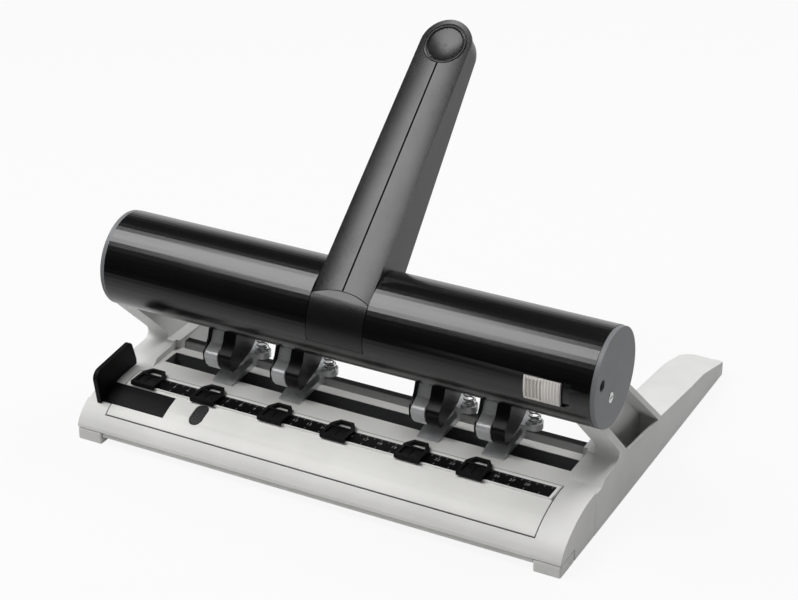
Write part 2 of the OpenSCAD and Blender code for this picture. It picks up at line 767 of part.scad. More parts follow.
coil_skin = concat(
    wire_ring([coil_r, 0, coil_low], 0, 90),
    wire_ring([coil_r, 0, coil_low + wire_d * 0.8], 0, 70),
    [for (i = [1 : coil_steps - 1]) each wire_ring(coil_points[i], 360 * i / coil_rings, 0)],
    wire_ring([coil_r, 0, coil_high - wire_d * 0.8], 0, 70),
    wire_ring([coil_r, 0, coil_high], 0, 90));
coil_ring_count = len(coil_skin) / coil_sides;

// Least gap between two curls, on points at least half a curl apart
function coil_gap() = min([for (i = [0 : coil_steps - coil_rings / 2])
    for (j = [i + coil_rings / 2 : coil_steps]) norm(coil_points[i] - coil_points[j])]) - wire_d;
echo(coil_least_gap = coil_gap());

module return_spring(x) piece("silver") translate([x + spring_x, spring_y, 0]) polyhedron(
    points = coil_skin,
    faces = concat(
        [[for (k = [0 : coil_sides - 1]) k]],
        [for (i = [0 : coil_ring_count - 2]) for (k = [0 : coil_sides - 1])
            let (a = i * coil_sides + k, b = i * coil_sides + (k + 1) % coil_sides)
            each [[a, a + coil_sides, b], [b, a + coil_sides, b + coil_sides]]],
        [[for (k = [coil_sides - 1 : -1 : 0]) (coil_ring_count - 1) * coil_sides + k]]));

module die_frame_1() die_frame(pin_xs[0]);
module strap_1() strap(pin_xs[0]);
module jaw_1() jaw(pin_xs[0]);
module punch_pin_1() punch_pin(pin_xs[0]);
module return_spring_1() return_spring(pin_xs[0]);
module die_frame_2() die_frame(pin_xs[1]);
module strap_2() strap(pin_xs[1]);
module jaw_2() jaw(pin_xs[1]);
module punch_pin_2() punch_pin(pin_xs[1]);
module return_spring_2() return_spring(pin_xs[1]);
module die_frame_3() die_frame(pin_xs[2]);
module strap_3() strap(pin_xs[2]);
module jaw_3() jaw(pin_xs[2]);
module punch_pin_3() punch_pin(pin_xs[2]);
module return_spring_3() return_spring(pin_xs[2]);
module die_frame_4() die_frame(pin_xs[3]);
module strap_4() strap(pin_xs[3]);
module jaw_4() jaw(pin_xs[3]);
module punch_pin_4() punch_pin(pin_xs[3]);
module return_spring_4() return_spring(pin_xs[3]);

// ---- stop and markers ----

module side_stop() piece(near_black) {
    bar_x(stop_out_x + stop_wall - bite, stop_in_x) skin(0, stop_t, stop_y);
    bar_x(stop_out_x, stop_out_x + stop_wall) polygon(concat(
        [for (y = [stop_y[1] + slack, 35, lip_run]) [y, lip_z(y) + slack]],
        [[53, deck_h + slack], [53, 36]], arc([45.5, 46.5], 4, 20, 95, 4),
        arc([14.5, 41.5], 6, 95, 180, 5),
        [[11.5, lip_z(11.5) + slack]],
        [[stop_y[0] - slack, lip_z(stop_y[0] - slack) + slack], [stop_y[0], lip_z(stop_y[0]) - stop_t]],
        [for (t = [0.25 : 0.25 : 1])
            let (y = stop_y[0] + t * (stop_y[1] - stop_y[0])) [y, lip_z(y) - stop_t]]));
}

// Frame that rides on the ruler, with an arch behind its rear edge
module marker(x) piece(near_black) translate([x, 0, deck_h + slack]) {
    r = marker_w / 2;
    front = ruler_y[0] - 1;
    back = ruler_y[1];
    sunk = marker_t / 2;
    difference() {
        linear_extrude(marker_t) polygon([[r, front], [r, back - 2.5], [r - 1, back - 0.5],
            [r - 4, back + 3.8], [4 - r, back + 3.8], [1 - r, back - 0.5], [-r, back - 2.5], [-r, front]]);
        block([marker_bar - r, r - marker_bar], [front + 1.4, back - 5], [sunk, marker_t + over]);
        translate([0, 0, -over]) linear_extrude(3 * over) polygon([[r - marker_bar - 0.6, back - 3.4],
            [r - marker_bar - 3, back + 1.6], [marker_bar + 3 - r, back + 1.6],
            [marker_bar + 0.6 - r, back - 3.4]]);
        block([-0.3, 0.3], [front + 1.4, back - 5], [sunk - 0.4, over]);
    }
    block([-r, r], [front - 1.2, front + bite], [-0.8, marker_t]);
}

module marker_1() marker(marker_xs[0]);
module marker_2() marker(marker_xs[1]);
module marker_3() marker(marker_xs[2]);
module marker_4() marker(marker_xs[3]);
module marker_5() marker(marker_xs[4]);
module marker_6() marker(marker_xs[5]);

base_floor();
front_housing();
front_cover();
left_side_frame();
right_side_frame();
front_feet();
rear_feet();
ruler();
guide_rail();
window_insert();
chip_tray();
tube_shell();
left_end_cap();
right_end_cap();
cap_screws();
badge_plate();
lock_slider();
left_bearing();
right_bearing();
lever_shell();
lever_core();
thumb_pad();
lever_hub();
drive_shaft();
left_cam();
right_cam();
press_bar();
die_frame_1();
strap_1();
jaw_1();
punch_pin_1();
return_spring_1();
die_frame_2();
strap_2();
jaw_2();
punch_pin_2();
return_spring_2();
die_frame_3();
strap_3();
jaw_3();
punch_pin_3();
return_spring_3();
die_frame_4();
strap_4();
jaw_4();
punch_pin_4();
return_spring_4();
side_stop();
marker_1();
marker_2();
marker_3();
marker_4();
marker_5();
marker_6();
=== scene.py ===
# %% [markdown]
# # A heavy four-hole desk punch
#
# This lesson dresses a punch whose parts were built to size beforehand. The machine stands on
# a grey moulded base, a black cross tube carries one long press lever, and four punch units
# slide on a rail under the tube. Blender gives each part its edges, its finish and its light.
#
# The parts could be modelled again here, but they already fit each other. So their shapes are
# kept, and the lesson adds what a built solid lacks.

import json
import math

import bmesh
import bpy
from mathutils import Matrix, Vector


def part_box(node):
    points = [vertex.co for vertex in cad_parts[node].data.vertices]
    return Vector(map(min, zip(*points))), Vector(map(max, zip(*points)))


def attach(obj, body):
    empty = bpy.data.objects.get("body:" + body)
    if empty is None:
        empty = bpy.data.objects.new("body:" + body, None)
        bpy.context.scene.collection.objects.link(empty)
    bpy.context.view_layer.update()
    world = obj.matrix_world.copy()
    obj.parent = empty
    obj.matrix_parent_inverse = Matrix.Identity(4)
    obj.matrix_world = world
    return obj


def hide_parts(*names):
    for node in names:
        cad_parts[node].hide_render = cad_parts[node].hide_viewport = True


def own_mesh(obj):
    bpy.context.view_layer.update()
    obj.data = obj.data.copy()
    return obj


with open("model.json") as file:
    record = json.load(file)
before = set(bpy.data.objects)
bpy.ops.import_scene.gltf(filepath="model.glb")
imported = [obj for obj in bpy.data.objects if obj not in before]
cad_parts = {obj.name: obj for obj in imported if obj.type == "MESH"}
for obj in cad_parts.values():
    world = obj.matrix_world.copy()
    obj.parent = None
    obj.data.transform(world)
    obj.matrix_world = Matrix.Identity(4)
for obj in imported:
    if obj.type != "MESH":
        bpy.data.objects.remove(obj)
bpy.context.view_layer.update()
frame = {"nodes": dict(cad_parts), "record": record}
nodes = frame["nodes"]
MM = 0.001

# %% [markdown]
# ## Places that several cells share
#
# The base stands on the table at height 0. Its front edge is the lowest Y of the front housing,
# so a place measured on the real machine from that edge can be written down as it is.

# %% Shared places
front_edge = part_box("front_housing")[0].y
tube_low, tube_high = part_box("tube_shell")
tube_radius = (tube_high.z - tube_low.z) / 2
tube_axis = Vector((0, (tube_low.y + tube_high.y) / 2, (tube_low.z + tube_high.z) / 2))


def spot(x, depth, height):
    """A point given in millimetres: across, back from the front edge, up from the table."""
    return Vector((x * MM, front_edge + depth * MM, height * MM))


print("tube axis", tuple(round(v, 4) for v in tube_axis), "radius", round(tube_radius, 4))

# %% [markdown]
# ## The camera
#
# The machine is seen from its right front corner, from a little above, through a long lens that
# keeps its edges nearly parallel. The camera could be turned by three angles, but two points
# are easier to read: where it stands and what it looks at. A camera looks along its own -Z
# axis, so `to_track_quat` turns the direction between the points into its rotation.

# %% Camera
LENS_MM = 95.2
SENSOR_MM = 36

view_from = spot(557.3, -938.6, 711.1)
view_to = spot(-1.0, 123.9, 84.6)
camera_data = bpy.data.cameras.new("camera")
camera_data.lens = LENS_MM
camera_data.sensor_width = SENSOR_MM
camera = bpy.data.objects.new("camera", camera_data)
camera.location = view_from
camera.rotation_euler = (view_to - view_from).to_track_quat("-Z", "Y").to_euler()
bpy.context.scene.collection.objects.link(camera)
bpy.context.scene.camera = camera
bpy.context.scene.view_settings.view_transform = "Standard"
print("camera distance", round((view_to - view_from).length, 3), "m")

# %% [markdown]
# ## Shader sums as plain Python
#
# A finish is a small graph of nodes. Written node by node it takes many lines, so a socket is
# wrapped in a class that knows how to add, subtract, multiply and compare: each sum places one
# Math node. `Graph.node` makes every other node from its type, its settings and its inputs.


# %% Sockets that take part in sums
class Amount:
    """The number or colour that leaves a socket."""

    def __init__(self, graph, socket):
        self.graph = graph
        self.socket = socket

    def _sum(self, operation, first, second):
        return self.graph.node("ShaderNodeMath", {"operation": operation},
                               {0: first, 1: second})

    def __add__(self, other):
        return self._sum("ADD", self, other)

    __radd__ = __add__

    def __mul__(self, other):
        return self._sum("MULTIPLY", self, other)

    __rmul__ = __mul__

    def __sub__(self, other):
        return self._sum("SUBTRACT", self, other)

    def __rsub__(self, other):
        return self._sum("SUBTRACT", other, self)

    def __gt__(self, other):
        return self._sum("GREATER_THAN", self, other)

    def __lt__(self, other):
        return self._sum("LESS_THAN", self, other)


print("an amount can be added, subtracted, multiplied and compared")


# %% A graph of nodes and its one way to make a node
class Graph:
    """The node tree of a finish or of the studio's air."""

    def __init__(self, tree):
        self.tree = tree

    def node(self, kind, settings, inputs, output=0):
        """Make one node: settings come first, then the values or links of its sockets."""
        made = self.tree.nodes.new(kind)
        for name, value in settings.items():
            if name == "stops":
                self._fill_ramp(made.color_ramp, value)
            else:
                setattr(made, name, value)
        for name, value in inputs.items():
            if isinstance(value, Amount):
                self.tree.links.new(value.socket, made.inputs[name])
            else:
                made.inputs[name].default_value = value
        return Amount(self, made.outputs[output])

    def _fill_ramp(self, ramp, stops):
        while len(ramp.elements) < len(stops):
            ramp.elements.new(0.5)
        for element, (position, colour) in zip(ramp.elements, stops):
            element.position = position
            element.color = (*colour, 1)

    def level(self, amount, low, high, out_low, out_high):
        """Stretch the span from low to high onto out_low to out_high, and stop at its ends."""
        return self.node("ShaderNodeMapRange", {"clamp": True},
                         {"Value": amount, 1: low, 2: high, 3: out_low, 4: out_high})

    def smaller(self, first, second):
        return self.node("ShaderNodeMath", {"operation": "MINIMUM"}, {0: first, 1: second})

    def mix(self, mask, first, second):
        """Colours are mixed by a Mix node, because a Math node would turn them grey."""
        def colour(value):
            return value if isinstance(value, Amount) else (*value, 1)
        return self.node("ShaderNodeMix", {"data_type": "RGBA"},
                         {0: mask, 6: colour(first), 7: colour(second)}, 2)


print("graph ready")


# %% A finish round its shader
class Finish(Graph):
    """One material, built round its Principled shader."""

    def __init__(self, name, **constants):
        self.material = bpy.data.materials.new(name)
        self.material.use_nodes = True
        super().__init__(self.material.node_tree)
        self.shader = self.tree.nodes["Principled BSDF"]
        for socket, value in constants.items():
            self.shader.inputs[socket.replace("_", " ")].default_value = value
        self.place = self.node("ShaderNodeTexCoord", {}, {}, "Object")

    def noise(self, scale, detail=2.0, stretch=(1, 1, 1), rough=0.5):
        """Noise with about `scale` waves in a metre, stretched along each axis."""
        where = self.node("ShaderNodeVectorMath", {"operation": "MULTIPLY"},
                          {0: self.place, 1: stretch})
        return self.node("ShaderNodeTexNoise", {}, {
            "Vector": where, "Scale": scale, "Detail": detail, "Roughness": rough})

    def ramp(self, amount, stops):
        return self.node("ShaderNodeValToRGB", {"stops": stops}, {"Fac": amount})

    def axis(self, name):
        return self.node("ShaderNodeSeparateXYZ", {}, {0: self.place}, name)

    def drive(self, socket, amount):
        self.tree.links.new(amount.socket, self.shader.inputs[socket])

    def bump(self, height, distance, strength=1.0):
        self.drive("Normal", self.node("ShaderNodeBump", {}, {
            "Height": height, "Distance": distance, "Strength": strength}))


def toned(colour, share):
    """The same colour, lighter or darker by a share, and never past white."""
    return tuple(min(1, c * share) for c in colour)


print("a finish can take noise, ramps, mixes and bumps")

# %% [markdown]
# ## Moulded plastic
#
# The base, the caps and the covers are injection moulded. Such a part isn't mirror smooth: the
# mould is spark-eroded, which leaves a fine even grain, and large faces are faintly cloudy. A
# picture of the grain could be wrapped round each part, but noise on the part's own coordinates
# needs no unwrapping and stays sharp from near by. One function makes all the plastics, from
# the colour, the grain and the gloss of the part.

# %% Grained plastic
CLOUD_WAVES = 22
TOUCH_WAVES = 60
FINE_WAVES = 900
PIT_WAVES = 2600
GRAIN_DEPTH = 0.04 * MM
GRAIN_STRENGTH = 0.6
TOUCH_GLOSS = 0.12
PIT_GLOSS = 0.08


def grained_plastic(name, colour, gloss, grain=1.0, cloud=0.05, shade=None, gleam=0.45,
                    relief=None, dull=None):
    """Spark-eroded plastic. `shade` darkens it by a mask, `relief` adds a height in metres,
    and `dull` is a mask of where the tool left it matt."""
    finish = Finish(name, Specular_IOR_Level=gleam)
    skin = finish.ramp(finish.noise(CLOUD_WAVES, 4), [
        (0.35, toned(colour, 1 - cloud)), (0.65, toned(colour, 1 + cloud))])
    if shade:
        mask, tone = shade(finish)
        skin = finish.mix(mask, skin, tone)
    finish.drive("Base Color", skin)
    pits = finish.noise(PIT_WAVES, 2.5, rough=0.6)
    touched = finish.noise(TOUCH_WAVES, 5)
    sheen = gloss + (touched - 0.5) * TOUCH_GLOSS + (pits - 0.5) * PIT_GLOSS
    finish.drive("Roughness", sheen + dull(finish) * (1 - gloss) if dull else sheen)
    fine = pits * 0.8 + finish.noise(FINE_WAVES, 2) * 0.2
    if relief:
        finish.bump(fine * (GRAIN_DEPTH * GRAIN_STRENGTH * grain) + relief(finish), 1.0)
    else:
        finish.bump(fine, GRAIN_DEPTH * grain, GRAIN_STRENGTH)
    return finish.material


print("grain", GRAIN_DEPTH / MM, "mm deep")

# %% [markdown]
# ## Tones within one part
#
# Three mouldings carry painted shade where shade falls: a dark line in the gap round the cover
# panel, charcoal in the chip channel below the deck, and black on the lips under the tube. Each
# could be cut off as a part of its own, but the real parts are one moulding each. So a mask
# says where the painted shade goes: a sum of the X, Y and Z of a point that comes to 1 there.

# %% Masks for the painted shade
# Painted shade: the tones below darken the cover's seam, the chip channel and the cradle's
# lips.
SEAM_SHADE_TONE = (0.10, 0.10, 0.10)
CHANNEL_SHADE_TONE = (0.115, 0.117, 0.12)
CHANNEL_FRONT = 64.6 * MM
CHANNEL_REAR = 83.4 * MM
CHANNEL_EDGE = 0.35 * MM
LIP_SHADE_TONE = (0.008, 0.008, 0.008)
LIP_SHADE_REACH = 3.1 * MM
LIP_SLANT = 125.5 * MM


def seam_shade(node, width):
    """Painted shade in the gap round the front and the two sides of a let-in panel."""
    low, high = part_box(node)

    def shade(finish):
        across = finish.axis("X")
        depth = finish.axis("Y")
        from_side = finish.smaller(across - low.x, high.x - across)
        inward = finish.smaller(from_side, finish.smaller(depth - low.y, high.y - depth))
        return finish.level(inward, width * 0.5, width, 1, 0), SEAM_SHADE_TONE
    return shade


def channel_shade(finish):
    """Painted shade: the chip channel is painted charcoal below the deck, where shade falls."""
    depth = finish.axis("Y") - front_edge
    below = finish.axis("Z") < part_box("base_floor")[1].z - CHANNEL_EDGE
    inside = (depth > CHANNEL_FRONT) * (depth < CHANNEL_REAR)
    return below * inside, CHANNEL_SHADE_TONE


def cradle_shade(finish):
    """Painted shade: the cradle's lips close under the tube's front are painted black."""
    depth = finish.axis("Y") - tube_axis.y
    height = finish.axis("Z") - tube_axis.z
    near_tube = (depth * depth + height * height) < (tube_radius + LIP_SHADE_REACH) ** 2
    in_front = (depth + height) < LIP_SLANT + front_edge - tube_axis.y - tube_axis.z
    return near_tube * in_front, LIP_SHADE_TONE


print("chip channel", round((CHANNEL_REAR - CHANNEL_FRONT) / MM, 1), "mm wide")

# %% [markdown]
# ## Small relief
#
# The lever's groove, the two flats of its top and the button's coarse ribs are cut into the
# built parts. What they lack could be cut too, but it is too slight for the outline and shows
# only in how light runs over it: a soft crown across the flats, a matt floor in the groove, and
# fine ribs over the rest of the button. So a height in the Bump node and a mask are enough.

# %% Heights and matt places
CROWN_RIDGE = 6 * MM
CROWN_FALL = -5.4
GROOVE_HALF = 0.55 * MM
DISH_MARGIN = 4 * MM
RIB_PITCH = 0.95 * MM
RIB_SHARE = 0.3


def crown(finish):
    """The lever's top is slightly crowned, so its light falls off towards both edges."""
    from_ridge = finish.axis("X") - CROWN_RIDGE
    return from_ridge * from_ridge * CROWN_FALL


def groove_mask(finish):
    """The groove along the middle of the lever's top, up to the thumb's dish."""
    across = finish.axis("X")
    below_dish = finish.axis("Z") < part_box("thumb_pad")[0].z + DISH_MARGIN
    return ((across * across) < GROOVE_HALF ** 2) * below_dish


def thumb_ribs(finish):
    """Fine ribs across the button, where the thumb pushes."""
    along = finish.axis("X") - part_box("lock_slider")[0].x
    wave = finish.node("ShaderNodeMath", {"operation": "PINGPONG"}, {0: along, 1: RIB_PITCH})
    return wave * RIB_SHARE


print("ribs", RIB_PITCH * RIB_SHARE / MM, "mm high")

# %% [markdown]
# ## The plastics of this machine
#
# The base is a warm light grey, the caps are dark grey, and the lever, the stop and the markers
# are black. Each material could be built from nothing, but one call that changes only what
# differs lets all of them share one grain.

# %% Plastics
BASE_GREY = (0.70, 0.695, 0.675)
SIDE_GREY = (0.70, 0.70, 0.69)
COVER_GREY = (0.725, 0.72, 0.695)
SEAM_SHADE_WIDTH = 0.6 * MM

moulded_base = grained_plastic("moulded_base", BASE_GREY, 0.46)
# The floor, the cover and the side frames carry painted shade from their masks.
moulded_floor = grained_plastic("moulded_floor", BASE_GREY, 0.46, shade=channel_shade)
moulded_cover = grained_plastic("moulded_cover", COVER_GREY, 0.44,
                                shade=seam_shade("front_cover", SEAM_SHADE_WIDTH))
moulded_frame = grained_plastic("moulded_frame", SIDE_GREY, 0.48, shade=cradle_shade)
moulded_cap = grained_plastic("moulded_cap", (0.165, 0.17, 0.178), 0.46)
moulded_black = grained_plastic("moulded_black", (0.005, 0.005, 0.0055), 0.36, grain=0.7,
                                gleam=0.28)
moulded_lever = grained_plastic("moulded_lever", (0.007, 0.007, 0.008), 0.26, grain=0.8,
                                relief=crown, dull=groove_mask)
moulded_matt = grained_plastic("moulded_matt", (0.006, 0.006, 0.0065), 0.5, grain=0.7,
                               gleam=0.1)
moulded_core = grained_plastic("moulded_core", (0.035, 0.035, 0.037), 0.33, grain=0.7,
                               gleam=0.4)
moulded_pad = grained_plastic("moulded_pad", (0.007, 0.007, 0.008), 0.28, grain=0.8)
moulded_button = grained_plastic("moulded_button", (0.68, 0.655, 0.62), 0.42,
                                 relief=thumb_ribs)
rubber_black = grained_plastic("rubber_black", (0.02, 0.02, 0.02), 0.8, grain=3.0)
print("plastics:", moulded_base.name, moulded_cover.name, moulded_black.name)

# %% [markdown]
# ## Powder-coated tube and rail
#
# The cross tube and the rail are steel with a baked coat. A coat has a soft waviness, known as
# orange peel, with a fine texture on top, and its sheen is even. One noise alone would give
# either the waves or the texture, so two noises of different size go into one Bump node.

# %% Baked coat
TONE_WAVES = 30
WIPE_WAVES = 45
PEEL_WAVES = 420
DUST_WAVES = 3200
COAT_DEPTH = 0.04 * MM
DUST_GLOSS = 0.1
WIPE_GLOSS = 0.05
# Painted highlight along the rail's front chamfer.
RAIL_HIGHLIGHT_TONE = (0.48, 0.48, 0.48)
HIGHLIGHT_FROM = 0.9 * MM
HIGHLIGHT_TO = 1.7 * MM


def baked_coat(name, colour, gloss, gleam=0.5, shade=None):
    """Steel under a baked coat, with `shade` as a mask and a tone of painted light."""
    finish = Finish(name, Specular_IOR_Level=gleam, Coat_Roughness=0.2,
                    Coat_Weight=gleam * 0.4)
    wave = finish.noise(PEEL_WAVES, 1.5)
    dust = finish.noise(DUST_WAVES, 2)
    wiped = finish.noise(WIPE_WAVES, 4)
    skin = finish.ramp(finish.noise(TONE_WAVES, 3), [
        (0.3, toned(colour, 0.9)), (0.7, toned(colour, 1.12))])
    if shade:
        mask, tone = shade(finish)
        skin = finish.mix(mask, skin, tone)
    finish.drive("Base Color", skin)
    finish.drive("Roughness", gloss + (dust - 0.5) * DUST_GLOSS + (wiped - 0.5) * WIPE_GLOSS)
    finish.bump(wave * 0.75 + dust * 0.25, COAT_DEPTH, 0.4)
    return finish.material


def rail_shade(finish):
    """Painted highlight: the chamfer along the rail's front is painted grey."""
    inward = finish.axis("Y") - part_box("guide_rail")[0].y
    return finish.level(inward, HIGHLIGHT_FROM, HIGHLIGHT_TO, 1, 0), RAIL_HIGHLIGHT_TONE


coated_tube = baked_coat("coated_tube", (0.0030, 0.0030, 0.0033), 0.23)
coated_rail = baked_coat("coated_rail", (0.005, 0.005, 0.0055), 0.42, gleam=0.12,
                         shade=rail_shade)
print("coats:", coated_tube.name, coated_rail.name)

# %% [markdown]
# ## Bare metal
#
# Three sorts of bare metal show between the tube and the base: the cast zinc of the punch
# frames, which is tumbled and slightly grainy; the ground steel of pins, shaft and press bar,
# with fine lines along the way it was ground; and the drawn wire of the springs. The lines
# could be drawn one by one. Noise that is pressed together on two axes and long on the third
# gives the same streaks, and the direction is set by three numbers.

# %% Cast, ground and drawn metal
STAIN_WAVES = 70
POOL_WAVES = 130
CAST_WAVES = 1400
SCRATCH_DEPTH = 0.02 * MM
SCRATCH_GLOSS = 0.22
STAIN_GLOSS = 0.12
CAST_DEPTH = 0.06 * MM
CAST_GLOSS = 0.25
POOL_GLOSS = 0.15


def ground_metal(name, colour, gloss, lines, metal=1.0):
    """Metal with streaks: `lines` holds the noise waves in a metre along X, Y and Z."""
    finish = Finish(name, Metallic=metal)
    scratch = finish.noise(1.0, 3, stretch=lines)
    stain = finish.noise(STAIN_WAVES, 4)
    streak = finish.level(scratch, 0.3, 0.7, 0, 1)
    finish.drive("Base Color", finish.mix(streak, toned(colour, 0.86), colour))
    finish.drive("Roughness", gloss + (scratch - 0.5) * SCRATCH_GLOSS
                 + (stain - 0.5) * STAIN_GLOSS)
    finish.bump(scratch, SCRATCH_DEPTH, 0.5)
    return finish.material


def cast_metal(name, colour, gloss):
    """A tumbled casting: fine grain over broad darker and lighter pools."""
    finish = Finish(name, Metallic=0.65)
    grain = finish.noise(CAST_WAVES, 3, rough=0.65)
    pool = finish.noise(POOL_WAVES, 4)
    finish.drive("Base Color", finish.ramp(pool, [(0.3, toned(colour, 0.82)), (0.7, colour)]))
    finish.drive("Roughness", gloss + (grain - 0.5) * CAST_GLOSS + (pool - 0.5) * POOL_GLOSS)
    finish.bump(grain * 0.7 + pool * 0.3, CAST_DEPTH, 0.7)
    return finish.material


cast_zinc = cast_metal("cast_zinc", (0.64, 0.65, 0.66), 0.38)
satin_strap = ground_metal("satin_strap", (0.72, 0.73, 0.74), 0.46, (60, 2600, 900), metal=0.5)
ground_steel = ground_metal("ground_steel", (0.58, 0.58, 0.585), 0.28, (2400, 2400, 50))
turned_steel = ground_metal("turned_steel", (0.6, 0.6, 0.6), 0.24, (3000, 300, 300))
spring_wire = ground_metal("spring_wire", (0.55, 0.55, 0.55), 0.22, (900, 900, 2600))
print("metals:", cast_zinc.name, satin_strap.name, ground_steel.name)

# %% [markdown]
# ## The printed ruler
#
# The ruler is a black strip with a light border, a painted highlight at its front and printed
# lines. Some hundreds of lines could be modelled, but ink has no thickness worth a mesh. The
# print follows the ruler's length, so a ping-pong of X is used: it runs up from 0 and down
# again once in each step, and a point is on a line where it is smaller than the line's width.

# %% Printed ruler
RULER_BORDER = 1.9 * MM
RULER_FRONT_HIGHLIGHT = 0.7 * MM
PRINT_DEPTH = 0.03 * MM
RULER_BLACK = (0.0035, 0.0035, 0.004)
RULER_WHITE = (0.80, 0.80, 0.78)
LINE_INK = (0.62, 0.62, 0.60)
FINE_STEP, FINE_WIDTH, FINE_LENGTH, FINE_INK = 1 * MM, 0.09 * MM, 1.5 * MM, 0.22
HALF_STEP, HALF_WIDTH, HALF_LENGTH, HALF_INK = 5 * MM, 0.16 * MM, 2.6 * MM, 0.34
FULL_STEP, FULL_WIDTH, FULL_INK = 10 * MM, 0.2 * MM, 0.3
FULL_FROM = 1.2 * MM
FULL_TO = 3.2 * MM
MATT_WAVES = 800
STRIP_WAVES = 2000


def printed_ruler(name):
    """A black strip with a light border, a painted front highlight and three scales of lines.
    """
    finish = Finish(name, Specular_IOR_Level=0.06)
    low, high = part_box("ruler")
    across = finish.axis("X")
    depth = finish.axis("Y")

    def lines(step, width, start, end):
        run = finish.node("ShaderNodeMath", {"operation": "PINGPONG"},
                          {0: (across - low.x) + width / 2, 1: step / 2})
        return (run < width) * ((depth > start) * (depth < end))

    rear = high.y - RULER_BORDER
    fine = lines(FINE_STEP, FINE_WIDTH, rear - FINE_LENGTH, rear)
    half = lines(HALF_STEP, HALF_WIDTH, rear - HALF_LENGTH, rear)
    full = lines(FULL_STEP, FULL_WIDTH, low.y + FULL_FROM, low.y + FULL_TO)
    inward = finish.smaller(finish.smaller(across - low.x, high.x - across), high.y - depth)
    border = inward < RULER_BORDER
    # Painted highlight: a light line along the ruler's front edge.
    front_highlight = (depth - low.y) < RULER_FRONT_HIGHLIGHT
    inks = fine * FINE_INK + half * HALF_INK + full * FULL_INK
    print_mask = finish.node("ShaderNodeClamp", {}, {0: inks})
    border_and_highlight_mask = finish.node("ShaderNodeClamp", {}, {0: border + front_highlight})
    inked = finish.mix(print_mask, RULER_BLACK, LINE_INK)
    finish.drive("Base Color", finish.mix(border_and_highlight_mask, inked, RULER_WHITE))
    finish.drive("Roughness", 0.45 + (finish.noise(MATT_WAVES, 2) - 0.5) * 0.1)
    raised = finish.noise(STRIP_WAVES, 2) * 0.4 + print_mask * 0.6
    finish.bump(raised, PRINT_DEPTH, 0.4)
    return finish.material


ruler_print = printed_ruler("ruler_print")
print("printed:", ruler_print.name)

# %% [markdown]
# ## Dimples and ink
#
# The window in the cover is a black insert with a net of tiny dimples. A thousand dents would
# make a heavy mesh, and Voronoi cells give the same net: the distance to the middle of a cell
# is the depth of its dimple. The ruler's numbers have an ink of their own, slightly uneven.

# %% Dimpled window and ink
DIMPLE_WAVES = 900
DIMPLE_DEPTH = 0.2 * MM
BLOT_WAVES = 900
INK_WAVES = 1500


def dimpled_window(name):
    """Black plastic with a net of dimples."""
    finish = Finish(name, Specular_IOR_Level=0.4)
    cells = finish.node("ShaderNodeTexVoronoi", {},
                        {"Vector": finish.place, "Scale": DIMPLE_WAVES})
    finish.drive("Base Color", finish.ramp(cells, [
        (0.0, (0.03, 0.03, 0.032)), (0.6, (0.006, 0.006, 0.007))]))
    finish.drive("Roughness", 0.45 + cells * 0.3)
    finish.bump(cells, DIMPLE_DEPTH, 0.8)
    return finish.material


def printed_ink(name, colour):
    """Ink that covers slightly unevenly."""
    finish = Finish(name, Specular_IOR_Level=0.3)
    finish.drive("Base Color", finish.ramp(finish.noise(BLOT_WAVES, 3), [
        (0.3, toned(colour, 0.6)), (0.7, colour)]))
    finish.drive("Roughness", 0.5 + (finish.noise(INK_WAVES, 2) - 0.5) * 0.1)
    return finish.material


window_dimples = dimpled_window("window_dimples")
number_ink = printed_ink("number_ink", (0.36, 0.36, 0.35))
print("small finishes:", window_dimples.name, number_ink.name)

# %% [markdown]
# ## From built part to finished part
#
# A built part has knife-sharp edges, which no real part has: a mould or a file leaves a small
# radius, and that radius catches the light. Every edge could be rounded by hand. A Bevel
# modifier does it for all of them, but only where faces meet cleanly. So a copy of the part's
# mesh is merged, its flat faces are joined again, and then every edge sharper than the limit is
# rounded. Smooth shading follows the curves and stays crisp at what is left.

# %% Round the edges of a part
MERGE_GAP = 0.002 * MM
FLAT_ANGLE = math.radians(0.4)
ROUNDED_ANGLE = math.radians(32)
CRISP_ANGLE = math.radians(35)

bodies_of = {}
for body, members in frame["record"]["behaviour"]["bodies"].items():
    for member in members:
        bodies_of[member] = body


def finished(node, material, edge_mm, segments=3):
    """A copy of a built part with rounded edges and its finish, which stands for the part."""
    mesh = nodes[node].data.copy()
    mesh.name = node + "_finished"
    shape = bmesh.new()
    shape.from_mesh(mesh)
    bmesh.ops.remove_doubles(shape, verts=shape.verts, dist=MERGE_GAP)
    bmesh.ops.dissolve_limit(shape, angle_limit=FLAT_ANGLE, verts=shape.verts,
                             edges=shape.edges, use_dissolve_boundaries=False)
    shape.to_mesh(mesh)
    shape.free()
    mesh.materials.clear()
    mesh.materials.append(material)
    piece = bpy.data.objects.new(node + "_finished", mesh)
    bpy.context.scene.collection.objects.link(piece)
    bevel = piece.modifiers.new("edges", "BEVEL")
    bevel.width = edge_mm * MM
    bevel.segments = segments
    bevel.limit_method = "ANGLE"
    bevel.angle_limit = ROUNDED_ANGLE
    bevel.use_clamp_overlap = True
    bevel.harden_normals = True
    for face in mesh.polygons:
        face.use_smooth = True
    mesh.set_sharp_from_angle(angle=CRISP_ANGLE)
    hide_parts(node)
    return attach(piece, bodies_of[node])


# %% [markdown]
# ## Dress the base
#
# The housing, its curved cover and the side frames are the palest parts, all in nearly the same
# grey plastic. The rail, the ruler and the dimpled window lie dark on them. One radius could
# serve them all, but large mouldings have nearly a millimetre and small ones much less, so each
# part is given its own.

